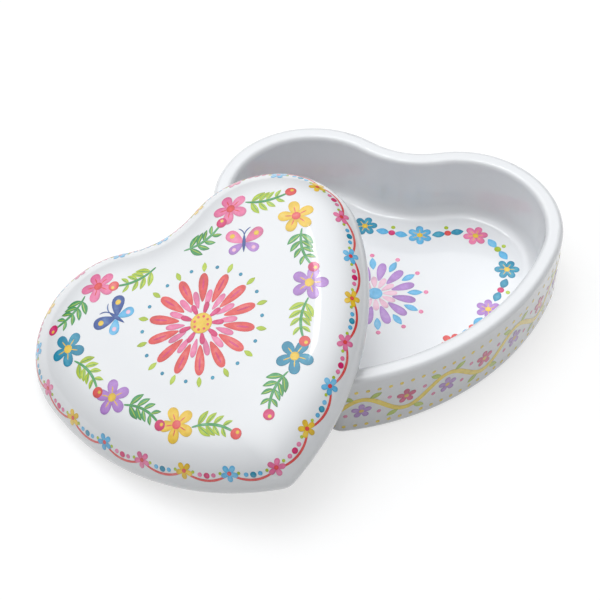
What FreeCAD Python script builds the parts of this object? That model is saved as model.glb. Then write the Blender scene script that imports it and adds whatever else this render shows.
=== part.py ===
import FreeCAD, Part
import math
import os

# A heart-shaped glazed porcelain trinket box in two pieces: a shallow base and a domed lid.
# The base stands at the origin with the heart's tip towards -Y and its foot on Z = 0.
# The lid has been taken off: its left edge lies on the table and it leans on the base's rim.
# All sizes are in millimetres and all angles in degrees.

# Heart outline, seen from above: tangent arcs, mirrored about the Y axis
heart_width = 110.0
lobe_radius = 31.5
notch_radius = 26.0
side_radius = 85.0
tip_radius = 5.0
tip_drop = 65.8  # from the line through the lobe centres to the centre of the tip's arc

# Base: walls that lean in towards the foot, and a floor with a wide cove round it
base_height = 25.2
rim_width = 5.4
rim_rounding = 1.8
wall_lean = 0.7
foot_rounding = 2.0
floor_height = 3.2
cavity_lean = 1.4
cavity_tip_radius = 6.5
cove_radius = 4.5

# Lid: a low pillow with a rounded lower edge, hollow below, with a rib that drops into the base
lid_margin = 0.9  # how far the lid's widest line lies inside the base's outline
lid_edge_height = 2.4  # from the lid's rim up to its widest line
lid_edge_inset = 0.9  # how far the rim lies inside the widest line
shoulder_height = 12.0
shoulder_inset = 19.0
shoulder_sweep = 84.0  # how much of a quarter turn the shoulder makes before the crown
crown_rise = 1.2
lid_thickness = 4.2
rib_depth = 1.2
rib_width = 2.2
rib_rounding = 0.6
rib_gap = 0.8  # play between the rib and the base's cavity, all round
hollow_wall_height = 3.0  # where the hollow's upright wall turns into its own shoulder
hollow_inset = 13.5

# The lid's place: taken off and turned, it lies over the left front of the base's rim
lid_x = -47.8
lid_y = -47.6
lid_turn = 35.5  # about Z, away from the base's own direction
lean_direction = 45.0  # the way in which the lid rises, from +X towards +Y
lean_gap = 0.3  # air between the lid's rib and the rim that it leans on

# Modelling steps: outlines up a shoulder, rings of the crown, and the search for the lean
shoulder_steps = 6
quarter_turn = 90.0
tip_growth = 0.4  # how fast a shoulder's tip softens as the outline comes inwards
crown_shares = (0.75, 0.5, 0.25, 0.1)
outline_points = 200
steepest_lean = 60.0
lean_precision = 0.01
tolerance = 0.01

# Outlines that follow from the sizes above: the rib fits the cavity's mouth with its gap
lobe_x = heart_width / 2 - lobe_radius
rib_inset = rim_width + rib_gap
rib_tip = cavity_tip_radius - rib_gap
inner_inset = rib_inset + rib_width
inner_tip = rib_tip - rib_width


def side_centre():
    """Centre of the right-hand side arc, which touches the lobe and the tip from outside."""
    to_lobe = side_radius - lobe_radius
    to_tip = side_radius - tip_radius
    span = math.hypot(lobe_x, tip_drop)
    along = (to_lobe**2 - to_tip**2 + span**2) / (2 * span)
    across = math.sqrt(to_lobe**2 - along**2)
    x = lobe_x - (along * lobe_x + across * tip_drop) / span
    y = (across * lobe_x - along * tip_drop) / span
    return x, y


side_x, side_y = side_centre()
notch_y = math.sqrt((lobe_radius + notch_radius) ** 2 - lobe_x**2)


def arc(centre, radius, start, end, z):
    """An arc about a centre, between two directions, by way of the middle one."""
    points = []
    for angle in (start, (start + end) / 2, end):
        x = centre[0] + radius * math.cos(angle)
        y = centre[1] + radius * math.sin(angle)
        points.append(FreeCAD.Vector(x, y, z))
    return Part.Arc(*points).toShape()


def heart(inset, z, tip):
    """The heart outline moved inwards by an inset, at height z, with its own tip radius."""
    side = side_radius - inset
    tip_y = side_y - math.sqrt((side - tip) ** 2 - side_x**2)
    notch_angle = math.atan2(-notch_y, lobe_x)
    lobe_start = math.atan2(notch_y, -lobe_x)
    side_start = math.atan2(-side_y, lobe_x - side_x)
    side_end = math.atan2(tip_y - side_y, -side_x)
    lobe_middle = (lobe_start + side_start) / 2
    lobe = lobe_radius - inset
    down = -math.pi / 2
    right = [
        arc((0, notch_y), notch_radius + inset, down, notch_angle, z),
        arc((lobe_x, 0), lobe, lobe_start, lobe_middle, z),
        arc((lobe_x, 0), lobe, lobe_middle, side_start, z),
        arc((side_x, side_y), side, side_start, side_end, z),
        arc((0, tip_y), tip, side_end, down, z),
    ]
    across = FreeCAD.Vector(1, 0, 0)
    left = [edge.mirror(FreeCAD.Vector(), across) for edge in reversed(right)]
    return Part.Wire(right + left)


def loft(sections):
    """A solid through heart outlines, each given as inset, height and tip radius."""
    wires = [heart(*section) for section in sections]
    straight = len(wires) == 2
    return Part.makeLoft(wires, True, straight)


def edges_at(shape, z):
    """The edges of a shape that lie flat at height z."""
    flat = []
    for edge in shape.Edges:
        box = edge.BoundBox
        if max(abs(box.ZMin - z), abs(box.ZMax - z)) < tolerance:
            flat.append(edge)
    return flat


def make_base():
    """The base: a tray with leaning walls, rounded at the rim and the foot, coved at the floor."""
    outside = loft([(wall_lean, 0, tip_radius), (0, base_height, tip_radius)])
    outside = outside.makeFillet(foot_rounding, edges_at(outside, 0))
    floor_outline = (rim_width + cavity_lean, floor_height, cavity_tip_radius)
    mouth_outline = (rim_width, base_height, cavity_tip_radius)
    cavity = loft([floor_outline, mouth_outline])
    cavity = cavity.makeFillet(cove_radius, edges_at(cavity, floor_height))
    tray = outside.cut(cavity)
    return tray.makeFillet(rim_rounding, edges_at(tray, base_height))


def shoulder(inset, height, width, rise, tip, sweep):
    """Outlines up a quarter-round shoulder that starts upright at an inset and a height."""
    outlines = []
    for step in range(1, shoulder_steps + 1):
        angle = math.radians(sweep * step / shoulder_steps)
        inwards = width * (1 - math.cos(angle))
        upwards = rise * math.sin(angle)
        outlines.append((inset + inwards, height + upwards, tip + tip_growth * inwards))
    return outlines


def make_dome():
    """The lid's outside: rounded lower edge, shoulder, and a crown that closes in a small flat."""
    outlines = [(lid_margin + lid_edge_inset, 0, tip_radius)]
    outlines.append((lid_margin, lid_edge_height, tip_radius))
    outlines += shoulder(lid_margin, lid_edge_height, shoulder_inset, shoulder_height,
                         tip_radius, shoulder_sweep)
    wires = [heart(*outline) for outline in outlines]
    brow = wires[-1]
    middle = brow.BoundBox.Center
    for share in crown_shares:
        ring = brow.copy()
        ring.scale(share, middle)
        ring.translate(FreeCAD.Vector(0, 0, crown_rise * (1 - share**2)))
        wires.append(ring)
    return Part.makeLoft(wires, True, False)


def make_lid():
    """The lid in its own frame: rim at Z = 0, dome above it and locating rib below it."""
    rib = loft([(rib_inset, -rib_depth, rib_tip), (rib_inset, lid_edge_height, rib_tip)])
    ceiling = lid_edge_height + shoulder_height - lid_thickness
    hollow_rise = ceiling - hollow_wall_height
    springing = (inner_inset, hollow_wall_height, inner_tip)
    throat = loft([(inner_inset, -rib_depth, inner_tip), springing])
    vault = [springing]
    vault += shoulder(inner_inset, hollow_wall_height, hollow_inset, hollow_rise, inner_tip,
                      quarter_turn)
    lid = make_dome().fuse(rib).cut(throat.fuse(loft(vault)))
    return lid.makeFillet(rib_rounding, edges_at(lid, -rib_depth))


def lid_rotation(tilt):
    """The lid's turn about Z, then its tilt up along the lean direction."""
    way = math.radians(lean_direction)
    axis = FreeCAD.Vector(math.sin(way), -math.cos(way), 0)
    turn = FreeCAD.Rotation(FreeCAD.Vector(0, 0, 1), lid_turn)
    return FreeCAD.Rotation(axis, tilt).multiply(turn)


def underside_points():
    """Points round the lid's rim and round both edges of its rib, in the lid's frame."""
    rim = heart(lid_margin + lid_edge_inset, 0, tip_radius)
    rib_outside = heart(rib_inset, -rib_depth, rib_tip)
    rib_inside = heart(inner_inset, -rib_depth, inner_tip)
    points = []
    for wire in (rim, rib_outside, rib_inside):
        points += wire.discretize(outline_points)
    return points


def lean_angle():
    """The smallest tilt at which the lid, resting on the table, clears the base's rim."""
    points = underside_points()
    high_rim = Part.Face(heart(rim_rounding / 2, 0, tip_radius))
    low, high = 0.0, steepest_lean
    while high - low > lean_precision:
        tilt = (low + high) / 2
        rotation = lid_rotation(tilt)
        turned = [rotation.multVec(point) for point in points]
        table = min(point.z for point in turned)
        clear = True
        for point in turned:
            below = FreeCAD.Vector(point.x + lid_x, point.y + lid_y, 0)
            if point.z - table < base_height + lean_gap and high_rim.isInside(below, tolerance, True):
                clear = False
        if clear:
            high = tilt
        else:
            low = tilt
    return high


def lean(lid):
    """The lid moved to its place: tilted against the base's rim, its lowest edge on the table."""
    tilt = lean_angle()
    lid.Placement = FreeCAD.Placement(FreeCAD.Vector(lid_x, lid_y, 0), lid_rotation(tilt))
    lowest = lid.optimalBoundingBox(False, False).ZMin
    lid.translate(FreeCAD.Vector(0, 0, -lowest))
    return lid


os.makedirs("parts", exist_ok=True)
make_base().exportStep("parts/box_base.step")
lean(make_lid()).exportStep("parts/box_lid.step")
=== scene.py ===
import bpy
import math
import random
from mathutils import Matrix, Vector
from mathutils.bvhtree import BVHTree
from mathutils.geometry import barycentric_transform


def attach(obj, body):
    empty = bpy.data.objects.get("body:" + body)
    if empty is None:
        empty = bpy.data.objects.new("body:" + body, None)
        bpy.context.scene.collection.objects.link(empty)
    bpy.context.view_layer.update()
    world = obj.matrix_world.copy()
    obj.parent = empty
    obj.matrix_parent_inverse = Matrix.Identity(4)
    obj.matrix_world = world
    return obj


# A heart-shaped glazed porcelain trinket box, its lid taken off and leaning on the base's rim.
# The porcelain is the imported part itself. The printed flowers are thin films laid on its surfaces.
# Sizes are in millimetres, and in metres once they are multiplied by mm. Angles are in degrees.

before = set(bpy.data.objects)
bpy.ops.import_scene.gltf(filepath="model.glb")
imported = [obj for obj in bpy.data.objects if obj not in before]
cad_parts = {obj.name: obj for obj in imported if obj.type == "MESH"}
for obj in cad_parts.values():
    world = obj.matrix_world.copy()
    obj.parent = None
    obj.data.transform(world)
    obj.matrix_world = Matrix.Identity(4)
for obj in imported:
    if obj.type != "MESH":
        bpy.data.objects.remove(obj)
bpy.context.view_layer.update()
scene = bpy.context.scene
mm = 0.001

# Camera: a long lens that looks down on the open box from the front right
camera_target = Vector((-19.4, -36.9, 18.7)) * mm
camera_azimuth = 12.92
camera_elevation = 49.27
camera_distance = 668.3 * mm
sensor_width = 36.0
focal_length = 132.0

# Heart outline of the part: tangent arcs, mirrored about the Y axis
heart_width = 110.0
lobe_radius = 31.5
notch_radius = 26.0
side_radius = 85.0
tip_radius = 5.0
tip_drop = 65.8  # from the line through the lobe centres to the centre of the tip's arc

# The lid's place: turned about Z, then tilted up along the way in which it leans
lid_origin = Vector((-47.8, -47.6, 19.71)) * mm
lid_turn = 35.5
lid_lean_direction = 45.0
lid_lean = 21.885

# Printed films: closed solids, a little proud of the glaze and sunk into it
film_rise = 0.05
film_layer = 0.02  # how much further each layer stands out
film_sink = 0.03
overlap = 0.1  # of a layer, between neighbours of one colour that lap over each other
facet = 1.2  # widest ring of facets in a filled shape
ribbon_end = 0.35  # width of a tapered line at its ends, as a share of its full width
leaf_belly = 0.85  # under 1, so that a leaf is fuller than a sine

# Where the rays start that lay a drawing on a surface
ray_start = 12.0  # above the plane that touches the surface, and above the foot over the floor
lid_ray_start = 40.0  # above the lid's rim
wall_ray_start = 3.0  # outside the wall

# Lid print: a dahlia in the middle, a wreath with sprays, two butterflies and a festoon round the edge
dahlia_y = -15.5
dahlia_size = 17.0
wreath_inset = 15.5
wreath_tip_radius = 6.0
wreath_stations = 10  # the first lies at the notch, and the middle one at the tip
wreath_blossom = 10.5
butterfly_x = 22.0
butterfly_y = 2.0
butterfly_turn = 25.0
left_butterfly = 13.0
right_butterfly = 12.0
festoon_inset = 4.0
festoon_swags = 22
festoon_blossom = 5.0

# Floor print: a rosette of two rows of petals with leaves and dots between their tips
rosette_y = -16.0
rosette_petals = 12
rosette_heart = 2.3
inner_petal_start = 2.4
inner_petal_length = 4.6
inner_petal_width = 2.5
outer_petal_start = 5.4
outer_petal_length = 7.6
outer_petal_width = 3.8
rosette_leaf_start = 10.0
rosette_leaf_length = 5.0
rosette_leaf_width = 2.2
rosette_dot_distance = 16.0
rosette_dot_radius = 0.75

# Floor print: a ring of blossoms, with a bead between two leaves after each of them
ring_inset = 16.0
ring_tip_radius = 4.0
ring_stations = 26
ring_blossom = 7.4
ring_blossom_petals = 6
ring_leaf_length = 4.4
ring_leaf_width = 2.6
ring_leaf_lap = 0.8  # how far each leaf reaches back under the bead
ring_bead_radius = 1.1
ring_dot_radius = 0.7
ring_dot_shift = 2.4  # outwards from the bead

# Wall print: a vine that waves round the outer wall between two rows of beads
vine_height = 11.5
vine_waves = 12
vine_swing = 4.2
vine_width = 1.8
vine_steps = 40
vine_crest, vine_trough = 0.25, 0.75  # in shares of a wave
vine_blossom = 6.0
vine_blossom_shift = 1.2  # from the middle of the vine into the hollow of a crest or trough
vine_leaf_length = 4.2
vine_leaf_width = 2.0
vine_leaf_turn = 62.0
vine_leaf_shift = 2.4  # to each side of a crest or trough
vine_crossings = ((0.02, -1), (0.5, 1))  # share of a wave, and the side on which the first dot lies
vine_dot_radius = 0.7
vine_dot_shift = 1.6
vine_dot_rise = 2.8
bead_radius = 0.65
bead_row = 8.0  # above and below the middle of the vine
beads_per_wave = 8

# Blossoms larger than this have a thread along each petal
threaded_size = 6.0

# Sprays: a stem with pairs of leaves that get smaller towards the bud
spray_length = 14.0
spray_bow = 0.12
spray_steps = 24
stem_width = 0.85
leaf_pairs = 4
first_pair = 3  # in steps along the stem
leafy_steps = 17
largest_leaf = 5.3
leaf_shrink = 0.6
leaf_slimness = 0.36
leaf_bend = 0.25
leaf_spread = 48.0
vein_width = 0.24
bud_radius = 1.7
glint_radius = 0.55
glint_x, glint_y = -0.45, 0.4  # from the middle of the bud

# Festoon: bows that swell outwards, with beads along their inner side, the largest in the middle
swag_bulge = 0.17
swag_width = 0.8
swag_bead_radii = (0.95, 0.7, 0.5)
swag_bead_step = 0.15
swag_bead_gap = 1.6

# Soft lamps, each with its azimuth, elevation, spread and radiance, and the light from all round
soft_lamps = (
    (-132, 72, 60, 1.94),
    (-44, 22, 52, 0.28),
    (52, 6, 55, 0.44),
)
ambient_radiance = 0.05
studio_colour = (0.97, 0.985, 1.0, 1)

# Strip lamp, which draws the bright streaks in the glaze
strip_azimuth = -140
strip_elevation = 76
strip_distance = 1000 * mm
strip_width = 100 * mm
strip_length = 450 * mm
strip_radiance = 6.0
strip_target = Vector((-20, -30, 20)) * mm

# Floor: its grey for the light that it throws back, and its grey and glow where it shows
white = (1, 1, 1, 1)
floor_reach = 6000 * mm
floor_drop = 0.1 * mm
floor_bounce = (0.5, 0.5, 0.5, 1)
floor_grey = (0.4, 0.4, 0.4, 1)
floor_glow = 0.65

# Porcelain: its glazed body, its bare biscuit, and how far from the foot or seat the glaze is wiped off
porcelain_white = (0.87, 0.88, 0.893, 1)
porcelain_shade = (0.845, 0.857, 0.875, 1)
biscuit_white = (0.84, 0.83, 0.80, 1)
biscuit_shade = (0.74, 0.725, 0.69, 1)
cloud_scale = 45.0
cloud_range = (0.3, 0.7)
grain_scale = 2600.0
body_roughness = (0.3, 0.42)
biscuit_roughness = 0.5  # on top of the glazed body's
glaze_roughness = 0.04
glaze_wave_scale = 28.0
glaze_wave_height = 0.1 * mm
glaze_wave_strength = 0.25
bare_depth = 0.2 * mm

# Pigments, as they look in plain light
pigments = {
    "coral": (0.91, 0.26, 0.25),
    "magenta": (0.86, 0.08, 0.42),
    "pink": (0.94, 0.46, 0.65),
    "lime": (0.70, 0.80, 0.10),
    "leaf": (0.20, 0.60, 0.30),
    "teal": (0.04, 0.56, 0.70),
    "navy": (0.08, 0.28, 0.60),
    "sky": (0.36, 0.73, 0.92),
    "yellow": (0.95, 0.78, 0.14),
    "gold": (1.0, 0.87, 0.05),
    "lilac": (0.71, 0.50, 0.82),
    "blush": (0.97, 0.76, 0.85),
}
pigment_roughness = 0.35
mottle_scale = 420.0
mottle_roughness = 0.6
pooling = 0.25  # how much deeper the colour is at the edge of a shape
pooling_power = 3.0
tone_spread = 0.12  # how far one shape differs from the next
wash_level = 0.25
wash_white = 0.28  # share of white in the palest wash
plain_level = 0.55
deep_level = 0.9
deep_share = 0.86  # of the plain colour, where it is deepest

dice = random.Random(7)


def direction(azimuth, elevation):
    """Unit vector from the object towards a place at that azimuth and elevation."""
    a = math.radians(azimuth)
    e = math.radians(elevation)
    return Vector((math.sin(a) * math.cos(e), -math.cos(a) * math.cos(e), math.sin(e)))


def heading(turn):
    """Level unit vector, turned from +Y by an angle."""
    angle = math.radians(turn)
    return Vector((-math.sin(angle), math.cos(angle), 0))


def pick(choices, i):
    """The choice whose turn it is."""
    return choices[i % len(choices)]


def lid_matrix():
    """From the lid's own frame, with its rim at Z = 0, to the frame of the part."""
    way = math.radians(lid_lean_direction)
    axis = Vector((math.sin(way), -math.cos(way), 0))
    lean = Matrix.Rotation(math.radians(lid_lean), 4, axis)
    turn = Matrix.Rotation(math.radians(lid_turn), 4, "Z")
    return Matrix.Translation(lid_origin) @ lean @ turn


lid_place = lid_matrix()
lid_up = lid_place.to_3x3() @ Vector((0, 0, 1))


# Heart lines

lobe_x = heart_width / 2 - lobe_radius
notch_y = math.sqrt((lobe_radius + notch_radius) ** 2 - lobe_x**2)


def side_centre():
    """Centre of the right-hand side arc, which touches the lobe and the tip from outside."""
    to_lobe = side_radius - lobe_radius
    to_tip = side_radius - tip_radius
    span = math.hypot(lobe_x, tip_drop)
    along = (to_lobe**2 - to_tip**2 + span**2) / (2 * span)
    across = math.sqrt(to_lobe**2 - along**2)
    x = lobe_x - (along * lobe_x + across * tip_drop) / span
    y = (across * lobe_x - along * tip_drop) / span
    return x, y


side_x, side_y = side_centre()


class HeartLine:
    """The heart outline moved inwards by an inset, walked from the notch by the right."""

    def __init__(self, inset, tip=tip_radius):
        side = side_radius - inset
        tip_y = side_y - math.sqrt((side - tip) ** 2 - side_x**2)
        notch_end = math.atan2(-notch_y, lobe_x)
        lobe_start = math.atan2(notch_y, -lobe_x)
        side_start = math.atan2(-side_y, lobe_x - side_x)
        side_end = math.atan2(tip_y - side_y, -side_x)
        down = -math.pi / 2
        # Each arc's centre, radius, start, end, and whether its radius points out of the heart or into it
        self.arcs = [
            (Vector((0, notch_y)), notch_radius + inset, down, notch_end, -1),
            (Vector((lobe_x, 0)), lobe_radius - inset, lobe_start, side_start, 1),
            (Vector((side_x, side_y)), side, side_start, side_end, 1),
            (Vector((0, tip_y)), tip, side_end, down, 1),
        ]
        self.half = sum(radius * abs(end - start) for _, radius, start, end, _ in self.arcs)
        self.length = 2 * self.half

    def at(self, distance):
        """The point that far along the line, and the direction out of the heart there."""
        distance %= self.length
        mirrored = distance > self.half
        left = self.length - distance if mirrored else distance
        for centre, radius, start, end, sense in self.arcs:
            span = radius * abs(end - start)
            share = min(left / span, 1)
            if share < 1:
                break
            left -= span
        angle = start + (end - start) * share
        out = Vector((math.cos(angle), math.sin(angle)))
        point = centre + out * radius
        out = out * sense
        if mirrored:
            point.x = -point.x
            out.x = -out.x
        return point, out


wall_line = HeartLine(0)


# Surfaces and the charts that carry flat drawings on to them


class Surface:
    """The skin of a CAD node, for laying drawings on it."""

    def __init__(self, node):
        mesh = node.data
        self.points = [vertex.co.copy() for vertex in mesh.vertices]
        self.corners = [tuple(polygon.vertices) for polygon in mesh.polygons]
        self.normals = []
        for polygon in mesh.polygons:
            self.normals.append([mesh.corner_normals[i].vector.copy() for i in polygon.loop_indices])
        self.tree = BVHTree.FromPolygons(self.points, self.corners)

    def meet(self, origin, ray):
        """Where a ray meets the skin, and the smooth normal there."""
        hit, _, index, _ = self.tree.ray_cast(origin, ray)
        if hit is None:
            raise ValueError(f"a drawing runs off its surface near {tuple(origin)}")
        corners = [self.points[i] for i in self.corners[index]]
        normal = barycentric_transform(hit, *corners, *self.normals[index])
        return hit, normal.normalized()


lid_skin = Surface(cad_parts["box_lid"])
base_skin = Surface(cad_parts["box_base"])


def tangent_chart(surface, origin, ray, forward):
    """Flat drawings on the plane that touches the surface where the ray meets it; +Y is forward."""
    middle, normal = surface.meet(origin, ray)
    across = forward.cross(normal).normalized()
    along = normal.cross(across)

    def chart(u, v):
        start = middle + (across * u + along * v + normal * ray_start) * mm
        return surface.meet(start, -normal)

    return chart


def lid_chart(x, y, turn=0.0):
    """A chart on the lid's dome about a point in the lid's own frame."""
    origin = lid_place @ (Vector((x, y, lid_ray_start)) * mm)
    return tangent_chart(lid_skin, origin, -lid_up, lid_place.to_3x3() @ heading(turn))


def floor_chart(x, y, turn=0.0):
    """A chart on the base's inside floor about a point."""
    origin = Vector((x, y, ray_start)) * mm
    return tangent_chart(base_skin, origin, Vector((0, 0, -1)), heading(turn))


def line_chart(chart_at, line, distance, turn=0.0):
    """A lid or floor chart at a place along a heart line; +Y is outwards, turned by an angle."""
    point, out = line.at(distance)
    return chart_at(point.x, point.y, math.degrees(math.atan2(-out.x, out.y)) + turn)


def wall_chart(start, height):
    """Flat drawings on the base's outer wall: X runs back along the heart line from a start, Y is up."""

    def chart(u, v):
        point, out = wall_line.at(start - u)
        outside = point + out * wall_ray_start
        origin = Vector((outside.x, outside.y, height + v)) * mm
        return base_skin.meet(origin, Vector((-out.x, -out.y, 0)))

    return chart


# Flat shapes: points, faces, the loop round the edge, and how near the edge each point is


def turned(points, angle, x=0.0, y=0.0):
    """Points turned about the origin by an angle, then moved."""
    c = math.cos(math.radians(angle))
    s = math.sin(math.radians(angle))
    return [(x + c * px - s * py, y + s * px + c * py) for px, py in points]


def spoke(distance, angle):
    """The point at a distance from the origin, at an angle from +Y."""
    return turned([(0, distance)], angle)[0]


def blob(outline):
    """A filled shape: rings from its middle out to the outline."""
    count = len(outline)
    mx = sum(p[0] for p in outline) / count
    my = sum(p[1] for p in outline) / count
    reach = max(math.hypot(x - mx, y - my) for x, y in outline)
    rings = max(1, math.ceil(reach / facet))
    points = [(mx, my)]
    edge = [0.0]
    for ring in range(1, rings + 1):
        share = ring / rings
        points += [(mx + (x - mx) * share, my + (y - my) * share) for x, y in outline]
        edge += [share] * count
    faces = [(0, 1 + i, 1 + (i + 1) % count) for i in range(count)]
    for ring in range(1, rings):
        inner = 1 + (ring - 1) * count
        outer = inner + count
        for i in range(count):
            j = (i + 1) % count
            faces.append((inner + i, outer + i, outer + j, inner + j))
    loop = list(range(1 + (rings - 1) * count, 1 + rings * count))
    return points, faces, loop, edge


def ribbon(path, width, taper=True):
    """A painted line along a path, thin at its ends if it tapers."""
    points, edge, faces = [], [], []
    last = len(path) - 1
    for i, (x, y) in enumerate(path):
        ax, ay = path[max(i - 1, 0)]
        bx, by = path[min(i + 1, last)]
        length = math.hypot(bx - ax, by - ay)
        swell = 1.0
        if taper:
            swell = ribbon_end + (1 - ribbon_end) * math.sqrt(math.sin(math.pi * i / last))
        across = width * swell / 2
        nx = -(by - ay) / length * across
        ny = (bx - ax) / length * across
        points += [(x - nx, y - ny), (x, y), (x + nx, y + ny)]
        edge += [1.0, 0.0, 1.0]
    for i in range(last):
        k = 3 * i
        faces += [(k, k + 3, k + 4, k + 1), (k + 1, k + 4, k + 5, k + 2)]
    right = list(range(0, 3 * last + 1, 3))
    left = list(range(3 * last + 2, 1, -3))
    loop = right + [3 * last + 1] + left + [1]
    return points, faces, loop, edge


def disc(radius, x=0.0, y=0.0, count=18):
    """A round dot about a point."""
    steps = [2 * math.pi * i / count for i in range(count)]
    return blob([(x + radius * math.cos(a), y + radius * math.sin(a)) for a in steps])


def petal(length, width, angle=0.0, start=0.0, narrow=0.45, count=22):
    """A rounded petal that points along its angle from +Y and begins at a distance from the middle."""
    outline = []
    for i in range(count):
        a = 2 * math.pi * i / count
        along = (1 - math.cos(a)) / 2
        fullness = narrow + (1 - narrow) * along
        outline.append((width / 2 * math.sin(a) * fullness, start + length * along))
    return blob(turned(outline, angle))


def leaf(length, width, angle=0.0, x=0.0, y=0.0, bend=0.0, count=11):
    """A pointed leaf from its stalk at a point, along an angle from +Y."""
    right, left = [], []
    for i in range(count + 1):
        t = i / count
        half = width / 2 * math.sin(math.pi * t) ** leaf_belly
        middle = bend * math.sin(math.pi * t)
        right.append((middle + half, length * t))
        left.append((middle - half, length * t))
    outline = right + left[-2:0:-1]
    return blob(turned(outline, angle, x, y))


def bow(x0, y0, x1, y1, bulge, count=16):
    """A path between two points that bows to its left by a share of its length."""
    dx = x1 - x0
    dy = y1 - y0
    path = []
    for i in range(count + 1):
        t = i / count
        side = 4 * t * (1 - t) * bulge
        path.append((x0 + dx * t - dy * side, y0 + dy * t + dx * side))
    return path


# Prints


class Film:
    """The shapes of one colour on one surface, each a thin closed solid."""

    def __init__(self):
        self.points = []
        self.normals = []
        self.faces = []
        self.edge = []
        self.tone = []

    def add(self, chart, shape, rise):
        """Lay a flat shape on a chart, as far proud as its rise, with a tone of its own."""
        points, faces, loop, edge = shape
        tone = dice.uniform(-1, 1)
        met = [chart(u, v) for u, v in points]
        top = len(self.points)
        bottom = top + len(met)
        self.points += [hit + normal * rise * mm for hit, normal in met]
        self.points += [hit - normal * film_sink * mm for hit, normal in met]
        self.normals += [normal for _, normal in met]
        self.normals += [-normal for _, normal in met]
        self.edge += edge + edge
        self.tone += [tone] * (2 * len(met))
        self.faces += [tuple(top + i for i in face) for face in faces]
        self.faces += [tuple(bottom + i for i in reversed(face)) for face in faces]
        for i, j in zip(loop, loop[1:] + loop[:1]):
            self.faces.append((top + i, bottom + i, bottom + j, top + j))

    def make(self, name, material):
        """The film as a piece."""
        mesh = bpy.data.meshes.new(name)
        mesh.from_pydata(self.points, [], self.faces)
        mesh.shade_smooth()
        mesh.normals_split_custom_set_from_vertices(self.normals)
        mesh.attributes.new("edge", "FLOAT", "POINT").data.foreach_set("value", self.edge)
        mesh.attributes.new("tone", "FLOAT", "POINT").data.foreach_set("value", self.tone)
        mesh.materials.append(material)
        piece = bpy.data.objects.new(name, mesh)
        scene.collection.objects.link(piece)
        return piece


class Print:
    """The prints on one surface: a film for each colour, made of shapes laid on charts."""

    def __init__(self, name, body):
        self.name = name
        self.body = body
        self.films = {}

    def lay(self, chart, colour, shape, layer=0):
        """Add a shape to the film of its colour; a higher layer covers a lower one."""
        film = self.films.setdefault(colour, Film())
        film.add(chart, shape, film_rise + film_layer * layer)

    def finish(self):
        """Make a piece of each film, which rides with the surface."""
        for colour, film in self.films.items():
            piece = film.make(f"{self.name}_{colour}", pigment(colour))
            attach(piece, self.body)


# Motifs


def dahlia(art, chart, size):
    """A round folk flower: three rows of striped petals about a dotted heart, ringed by leaves and dots."""
    # Each row's colour, count, petal start, length and width in shares of the size, shift and layer
    rows = (
        ("coral", 14, 0.42, 0.58, 0.24, 0.0, 0),
        ("pink", 14, 0.30, 0.36, 0.15, 0.5, 1),
        ("magenta", 9, 0.17, 0.25, 0.13, 0.0, 2),
    )
    for colour, count, start, length, width, shift, layer in rows:
        for i in range(count):
            angle = 360 * (i + shift) / count
            art.lay(chart, colour, petal(length * size, width * size, angle, start * size), layer)
    outer_petals = rows[0][1]
    stripe = [(0, size * share) for share in (0.66, 0.72, 0.78, 0.84, 0.90)]
    stripe_width = size * 0.035
    dot_distance = size * 1.1
    dot_radius = size * 0.035
    leaf_start = size * 1.02
    leaf_length = size * 0.2
    leaf_width = size * 0.09
    for i in range(outer_petals):
        angle = 360 * i / outer_petals
        between = angle + 180 / outer_petals
        art.lay(chart, "magenta", ribbon(turned(stripe, angle), stripe_width), 1)
        art.lay(chart, "teal", disc(dot_radius, *spoke(dot_distance, between)))
        art.lay(chart, "lime", leaf(leaf_length, leaf_width, angle, *spoke(leaf_start, angle)))
    heart_radius = size * 0.2
    art.lay(chart, "yellow", disc(heart_radius, count=28), 3)
    heart_dots = 8
    heart_dot_distance = size * 0.13
    heart_dot_radius = size * 0.026
    for i in range(heart_dots):
        place = spoke(heart_dot_distance, 360 * i / heart_dots)
        art.lay(chart, "coral", disc(heart_dot_radius, *place, count=10), 4)


def blossom(art, chart, colour, middle, size, petals=5):
    """A small open flower with a dot in its middle, and threads along its petals if it is large."""
    petal_start = size * 0.04
    petal_length = size * 0.5
    petal_width = size * 0.4
    thread = [(0, size * share) for share in (0.12, 0.19, 0.26, 0.33)]
    thread_width = size * 0.035
    heart_radius = size * 0.13
    for i in range(petals):
        angle = 360 * i / petals
        shape = petal(petal_length, petal_width, angle, petal_start, narrow=0.6, count=18)
        art.lay(chart, colour, shape, 1 + overlap * i)
        if size > threaded_size:
            art.lay(chart, middle, ribbon(turned(thread, angle), thread_width), 2)
    art.lay(chart, middle, disc(heart_radius), 2)


def spray(art, chart, bulge, leaves, vein, bud):
    """A bowed stem with pairs of veined leaves and a round bud on its end."""
    path = bow(0, 0, 0, spray_length, bulge, spray_steps)
    art.lay(chart, "leaf", ribbon(path, stem_width), 1)
    for i in range(leaf_pairs):
        k = first_pair + round(i * leafy_steps / leaf_pairs)
        x, y = path[k]
        next_x, next_y = path[k + 1]
        way = math.degrees(math.atan2(x - next_x, next_y - y))
        size = largest_leaf - leaf_shrink * i
        middle_line = [(0, size * share) for share in (0.1, 0.3, 0.5, 0.7, 0.85)]
        for side in (-1, 1):
            turn = way - side * leaf_spread
            shape = leaf(size, size * leaf_slimness, turn, x, y, side * leaf_bend)
            art.lay(chart, leaves, shape, overlap * i)
            art.lay(chart, vein, ribbon(turned(middle_line, turn, x, y), vein_width), 1)
    x, y = path[-1]
    art.lay(chart, bud, disc(bud_radius, x, y), 2)
    art.lay(chart, "yellow", disc(glint_radius, x + glint_x, y + glint_y, count=10), 3)


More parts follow.
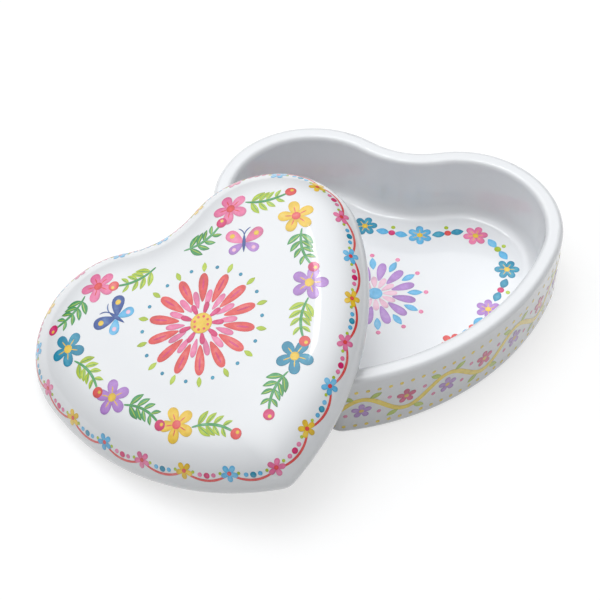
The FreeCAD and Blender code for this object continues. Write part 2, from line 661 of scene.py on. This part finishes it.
def butterfly(art, chart, upper, lower, size):
    """Two pairs of wings with a spot on each, a slim body and two feelers."""
    upper_spread = 52
    lower_spread = 122
    wing_root = size * 0.03
    upper_length = size * 0.56
    upper_width = size * 0.44
    upper_spot = size * 0.4
    upper_spot_radius = size * 0.07
    lower_length = size * 0.42
    lower_width = size * 0.34
    lower_spot = size * 0.3
    lower_spot_radius = size * 0.055
    feeler_start = size * 0.22
    feeler_x = size * 0.16
    feeler_y = size * 0.44
    feeler_width = size * 0.03
    body_length = size * 0.55
    body_width = size * 0.09
    body_end = -size * 0.27
    for side in (-1, 1):
        upper_way = -side * upper_spread
        lower_way = -side * lower_spread
        art.lay(chart, upper, petal(upper_length, upper_width, upper_way, wing_root, narrow=0.35))
        art.lay(chart, lower, petal(lower_length, lower_width, lower_way, wing_root, narrow=0.4))
        art.lay(chart, "yellow", disc(upper_spot_radius, *spoke(upper_spot, upper_way), count=12), 1)
        art.lay(chart, "blush", disc(lower_spot_radius, *spoke(lower_spot, lower_way), count=12), 1)
        feeler = bow(0, feeler_start, side * feeler_x, feeler_y, bulge=side * 0.15, count=8)
        art.lay(chart, "navy", ribbon(feeler, feeler_width), 1)
    art.lay(chart, "navy", leaf(body_length, body_width, y=body_end), 2)


def swag(art, chart, pitch, colours):
    """One bow of the festoon with its graded beads, whose colours are given from the middle outwards."""
    line = bow(-pitch / 2, 0, pitch / 2, 0, swag_bulge, count=18)
    art.lay(chart, "coral", ribbon(line, swag_width))
    outermost = len(swag_bead_radii) - 1
    for i in range(-outermost, outermost + 1):
        share = i * swag_bead_step
        x = pitch * share
        y = pitch * swag_bulge * (1 - 4 * share**2) - swag_bead_gap
        art.lay(chart, colours[abs(i)], disc(swag_bead_radii[abs(i)], x, y, count=14))


def draw_wreath(art):
    """Blossoms along a heart line on the lid, none at the notch and the tip, with sprays between them."""
    wreath = HeartLine(wreath_inset, wreath_tip_radius)
    step = wreath.length / wreath_stations
    blossoms = (("teal", "yellow"), ("pink", "coral"), ("yellow", "coral"), ("lilac", "yellow"))
    sprays = (("leaf", "lime", "magenta"), ("lime", "leaf", "coral"))
    for i in range(wreath_stations):
        if i % (wreath_stations // 2):
            colour, heart = pick(blossoms, i)
            blossom(art, line_chart(lid_chart, wreath, step * i), colour, heart, wreath_blossom)
        between = step * (i + 0.5)
        hand = 1 if between < wreath.half else -1
        start = between - hand * spray_length / 2
        spray(art, line_chart(lid_chart, wreath, start, -90 * hand), -hand * spray_bow, *pick(sprays, i))


def draw_festoon(art):
    """Bows and beads round the lid's edge, with a small blossom where they meet."""
    border = HeartLine(festoon_inset)
    pitch = border.length / festoon_swags
    beads = (("magenta", "pink", "lime"), ("teal", "sky", "lime"))
    blossoms = ("sky", "yellow", "pink")
    for i in range(festoon_swags):
        swag(art, line_chart(lid_chart, border, pitch * (i + 0.5)), pitch, pick(beads, i))
        blossom(art, line_chart(lid_chart, border, pitch * i), pick(blossoms, i), "coral", festoon_blossom)


def draw_lid():
    """The print on the lid's dome."""
    art = Print("lid_print", "lid")
    dahlia(art, lid_chart(0, dahlia_y), dahlia_size)
    draw_wreath(art)
    left = lid_chart(-butterfly_x, butterfly_y, butterfly_turn)
    butterfly(art, left, "navy", "sky", left_butterfly)
    right = lid_chart(butterfly_x, butterfly_y, -butterfly_turn)
    butterfly(art, right, "pink", "lilac", right_butterfly)
    draw_festoon(art)
    art.finish()


def draw_rosette(art):
    """The rosette in the middle of the floor."""
    chart = floor_chart(0, rosette_y)
    for i in range(rosette_petals):
        angle = 360 * i / rosette_petals
        between = angle + 180 / rosette_petals
        art.lay(chart, "lilac", petal(outer_petal_length, outer_petal_width, angle, outer_petal_start))
        leaf_place = spoke(rosette_leaf_start, between)
        art.lay(chart, "sky", leaf(rosette_leaf_length, rosette_leaf_width, between, *leaf_place))
        art.lay(chart, "pink", disc(rosette_dot_radius, *spoke(rosette_dot_distance, between)))
        art.lay(chart, "blush", petal(inner_petal_length, inner_petal_width, between, inner_petal_start), 1)
    art.lay(chart, "sky", disc(rosette_heart), 2)


def draw_ring(art):
    """The ring along a heart line on the floor: a blossom and a bead with its leaves in turn."""
    line = HeartLine(ring_inset, ring_tip_radius)
    for i in range(ring_stations):
        chart = line_chart(floor_chart, line, line.length * i / ring_stations)
        turn = i // 2
        if i % 2:
            colour = pick(("sky", "pink", "teal", "lilac", "coral"), turn)
            blossom(art, chart, colour, "yellow", ring_blossom, ring_blossom_petals)
        else:
            for side in (-1, 1):
                shape = leaf(ring_leaf_length, ring_leaf_width, side * 90, x=-side * ring_leaf_lap)
                art.lay(chart, pick(("sky", "teal"), turn), shape)
            art.lay(chart, pick(("magenta", "coral", "lime"), turn), disc(ring_bead_radius), 1)
            art.lay(chart, "lime", disc(ring_dot_radius, y=ring_dot_shift))


def draw_floor():
    """The print on the base's inside floor."""
    art = Print("floor_print", "base")
    draw_rosette(art)
    draw_ring(art)
    art.finish()


def vine_bend(art, chart, start, share, side, colour, leaf_turn):
    """What sits on a crest or trough of the vine: a blossom in its hollow and two leaves on its back."""
    x = wall_line.length / vine_waves * share
    hollow = wall_chart(start - x, vine_height - side * vine_blossom_shift)
    blossom(art, hollow, colour, "yellow", vine_blossom)
    for hand in (-1, 1):
        stalk_x = x - hand * vine_leaf_shift
        shape = leaf(vine_leaf_length, vine_leaf_width, hand * leaf_turn, stalk_x, side * vine_swing)
        art.lay(chart, "lime", shape)


def draw_wall():
    """The print on the base's outer wall: one wave of the vine after another, with all that is on it."""
    art = Print("wall_print", "base")
    wave = wall_line.length / vine_waves
    vine = []
    for k in range(vine_steps + 1):
        share = k / vine_steps
        vine.append((wave * share, vine_swing * math.sin(2 * math.pi * share)))
    for i in range(vine_waves):
        start = wave * i
        chart = wall_chart(start, vine_height)
        art.lay(chart, "gold", ribbon(vine, vine_width, taper=False))
        for k in range(beads_per_wave):
            x = wave * (k + 0.5) / beads_per_wave
            for side in (-1, 1):
                art.lay(chart, "gold", disc(bead_radius, x, side * bead_row, count=12))
        vine_bend(art, chart, start, vine_crest, 1, "lilac", vine_leaf_turn)
        vine_bend(art, chart, start, vine_trough, -1, "magenta", 180 - vine_leaf_turn)
        for share, side in vine_crossings:
            for hand in (-1, 1):
                x = wave * share + hand * vine_dot_shift
                y = side * hand * vine_dot_rise
                art.lay(chart, "pink", disc(vine_dot_radius, x, y, count=12))
    art.finish()


# Materials


def linear(colour):
    """A colour as it looks, as the shader wants it."""
    return tuple(c / 12.92 if c <= 0.04045 else ((c + 0.055) / 1.055) ** 2.4 for c in colour) + (1.0,)


def new_material(name):
    """An empty node material, its tree and its output."""
    material = bpy.data.materials.new(name)
    material.use_nodes = True
    material.node_tree.nodes.clear()
    output = material.node_tree.nodes.new("ShaderNodeOutputMaterial")
    return material, material.node_tree, output


def add_node(tree, kind, inputs=None, **settings):
    """A node with its settings and its input values, or links where an input is a socket."""
    node = tree.nodes.new(kind)
    for name, value in settings.items():
        setattr(node, name, value)
    for name, value in (inputs or {}).items():
        if isinstance(value, bpy.types.NodeSocket):
            tree.links.new(value, node.inputs[name])
        else:
            node.inputs[name].default_value = value
    return node


def compute(tree, operation, *values):
    """The result of a math node on numbers and sockets."""
    return add_node(tree, "ShaderNodeMath", dict(enumerate(values)), operation=operation).outputs[0]


def dot_product(tree, a, b):
    """The dot product of two vectors or sockets."""
    node = add_node(tree, "ShaderNodeVectorMath", {0: a, 1: b}, operation="DOT_PRODUCT")
    return node.outputs["Value"]


def noise(tree, place, scale, detail, roughness=0.5):
    """The level of a noise texture."""
    inputs = {"Vector": place, "Scale": scale, "Detail": detail, "Roughness": roughness}
    return add_node(tree, "ShaderNodeTexNoise", inputs).outputs["Fac"]


def colour_ramp(tree, level, first, last, *between):
    """A colour by a level, from stops that are each a position and a colour."""
    node = add_node(tree, "ShaderNodeValToRGB", {"Fac": level})
    elements = node.color_ramp.elements
    for element, (position, colour) in zip(elements, (first, last)):
        element.position = position
        element.color = colour
    for position, colour in between:
        elements.new(position).color = colour
    return node.outputs["Color"]


def porcelain(name, origin, normal):
    """Glazed white porcelain, bare and matt in one plane, which a point and a normal give."""
    material, tree, output = new_material(name)
    place = add_node(tree, "ShaderNodeTexCoord").outputs["Object"]
    cloud = noise(tree, place, cloud_scale, detail=3.0)
    body = colour_ramp(tree, cloud, (cloud_range[0], porcelain_shade), (cloud_range[1], porcelain_white))
    grain = noise(tree, place, grain_scale, detail=2.0)
    biscuit = colour_ramp(tree, grain, (0.0, biscuit_shade), (1.0, biscuit_white))
    offset = add_node(tree, "ShaderNodeVectorMath", {0: place, 1: origin}, operation="SUBTRACT")
    height = dot_product(tree, offset.outputs[0], normal)
    bare = compute(tree, "COMPARE", height, 0.0, bare_depth)
    colour = add_node(tree, "ShaderNodeMixRGB", {"Fac": bare, "Color1": body, "Color2": biscuit})
    rough = add_node(tree, "ShaderNodeMapRange", {
        "Value": cloud, "To Min": body_roughness[0], "To Max": body_roughness[1]})
    flow = noise(tree, place, glaze_wave_scale, detail=1.0)
    wave = add_node(tree, "ShaderNodeBump", {
        "Strength": glaze_wave_strength, "Distance": glaze_wave_height, "Height": flow})
    shader = add_node(tree, "ShaderNodeBsdfPrincipled", {
        "Base Color": colour.outputs["Color"],
        "Roughness": compute(tree, "MULTIPLY_ADD", bare, biscuit_roughness, rough.outputs["Result"]),
        "Coat Weight": compute(tree, "SUBTRACT", 1.0, bare),
        "Coat Roughness": glaze_roughness,
        "Coat Normal": wave.outputs["Normal"],
    })
    tree.links.new(shader.outputs["BSDF"], output.inputs["Surface"])
    return material


pigment_materials = {}


def pigment(colour):
    """A watercolour print under the glaze: paler in the middle, deeper at the edge, and mottled."""
    if colour in pigment_materials:
        return pigment_materials[colour]
    material, tree, output = new_material(f"print_{colour}")
    place = add_node(tree, "ShaderNodeTexCoord").outputs["Object"]
    mottle = noise(tree, place, mottle_scale, detail=4.0, roughness=mottle_roughness)
    edge = add_node(tree, "ShaderNodeAttribute", attribute_name="edge").outputs["Fac"]
    tone = add_node(tree, "ShaderNodeAttribute", attribute_name="tone").outputs["Fac"]
    pooled = compute(tree, "POWER", edge, pooling_power)
    depth = compute(tree, "MULTIPLY_ADD", pooled, pooling, mottle)
    depth = compute(tree, "MULTIPLY_ADD", tone, tone_spread, depth)
    plain = pigments[colour]
    wash = [c + (1 - c) * wash_white for c in plain]
    deep = [c * deep_share for c in plain]
    look = colour_ramp(tree, depth, (wash_level, linear(wash)), (deep_level, linear(deep)),
                       (plain_level, linear(plain)))
    shader = add_node(tree, "ShaderNodeBsdfPrincipled", {
        "Base Color": look,
        "Roughness": pigment_roughness,
        "Coat Weight": 1.0,
        "Coat Roughness": glaze_roughness,
    })
    tree.links.new(shader.outputs["BSDF"], output.inputs["Surface"])
    pigment_materials[colour] = material
    return material


def glaze_nodes():
    """Give both castings their porcelain: the base is bare on its foot, the lid on its seat."""
    skins = {
        "box_base": porcelain("base_porcelain", Vector((0, 0, 0)), Vector((0, 0, 1))),
        "box_lid": porcelain("lid_porcelain", lid_origin, lid_up),
    }
    for name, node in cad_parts.items():
        node.data.materials.clear()
        node.data.materials.append(skins[name])


# Studio


def add_aimed(name, data, target, azimuth, elevation, distance):
    """An object at a distance from a target, which looks at it from that azimuth and elevation."""
    thing = bpy.data.objects.new(name, data)
    scene.collection.objects.link(thing)
    back = direction(azimuth, elevation)
    thing.location = target + back * distance
    thing.rotation_mode = "QUATERNION"
    thing.rotation_quaternion = (-back).to_track_quat("-Z", "Y")
    return thing


def add_camera():
    """The camera, at the photograph's viewing angle."""
    data = bpy.data.cameras.new("camera")
    data.sensor_width = sensor_width
    data.lens = focal_length
    scene.camera = add_aimed(
        "camera", data, camera_target, camera_azimuth, camera_elevation, camera_distance)


def add_strip_lamp():
    """A long lamp above the back left, mirrored in the glaze."""
    data = bpy.data.lights.new("strip", "AREA")
    data.shape = "RECTANGLE"
    data.size = strip_width
    data.size_y = strip_length
    data.energy = strip_radiance * math.pi * strip_width * strip_length
    add_aimed("strip", data, strip_target, strip_azimuth, strip_elevation, strip_distance)


def add_world():
    """A studio with soft lamps all round; the camera sees plain white behind the object."""
    world = bpy.data.worlds.new("studio")
    scene.world = world
    world.use_nodes = True
    tree = world.node_tree
    tree.nodes.clear()
    output = tree.nodes.new("ShaderNodeOutputWorld")
    way = add_node(tree, "ShaderNodeTexCoord").outputs["Generated"]
    glow = ambient_radiance
    for azimuth, elevation, spread, radiance in soft_lamps:
        lamp = add_node(tree, "ShaderNodeMapRange", {
            "Value": dot_product(tree, way, direction(azimuth, elevation)),
            "From Min": math.cos(math.radians(spread)),
            "From Max": 1.0,
            "To Min": 0.0,
            "To Max": radiance,
        }, interpolation_type="SMOOTHSTEP")
        glow = compute(tree, "ADD", glow, lamp.outputs["Result"])
    studio = add_node(tree, "ShaderNodeBackground", {"Color": studio_colour, "Strength": glow})
    plain = add_node(tree, "ShaderNodeBackground", {"Color": white, "Strength": 1.0})
    path = tree.nodes.new("ShaderNodeLightPath")
    mix = add_node(tree, "ShaderNodeMixShader", {
        0: path.outputs["Is Camera Ray"], 1: studio.outputs[0], 2: plain.outputs[0]})
    tree.links.new(mix.outputs[0], output.inputs["Surface"])


def add_floor():
    """A pale floor just below the foot, near white where it shows and where the glaze mirrors it."""
    mesh = bpy.data.meshes.new("floor")
    corners = [(x * floor_reach, y * floor_reach, 0) for x, y in ((-1, -1), (1, -1), (1, 1), (-1, 1))]
    mesh.from_pydata(corners, [], [(0, 1, 2, 3)])
    floor = bpy.data.objects.new("floor", mesh)
    scene.collection.objects.link(floor)
    floor.location.z = -floor_drop
    material, tree, output = new_material("pale_floor")
    path = tree.nodes.new("ShaderNodeLightPath")
    in_sight = path.outputs["Is Camera Ray"]
    for ray in ("Is Glossy Ray", "Is Transmission Ray"):
        in_sight = compute(tree, "MAXIMUM", in_sight, path.outputs[ray])
    bounce = add_node(tree, "ShaderNodeBsdfDiffuse", {"Color": floor_bounce})
    grey = add_node(tree, "ShaderNodeBsdfDiffuse", {"Color": floor_grey})
    glow = add_node(tree, "ShaderNodeEmission", {"Color": white, "Strength": floor_glow})
    seen = add_node(tree, "ShaderNodeAddShader", {0: grey.outputs[0], 1: glow.outputs[0]})
    mix = add_node(tree, "ShaderNodeMixShader", {0: in_sight, 1: bounce.outputs[0], 2: seen.outputs[0]})
    tree.links.new(mix.outputs[0], output.inputs["Surface"])
    mesh.materials.append(material)


add_camera()
add_world()
add_floor()
add_strip_lamp()
glaze_nodes()
draw_lid()
draw_floor()
draw_wall()
scene.view_settings.view_transform = "Standard"
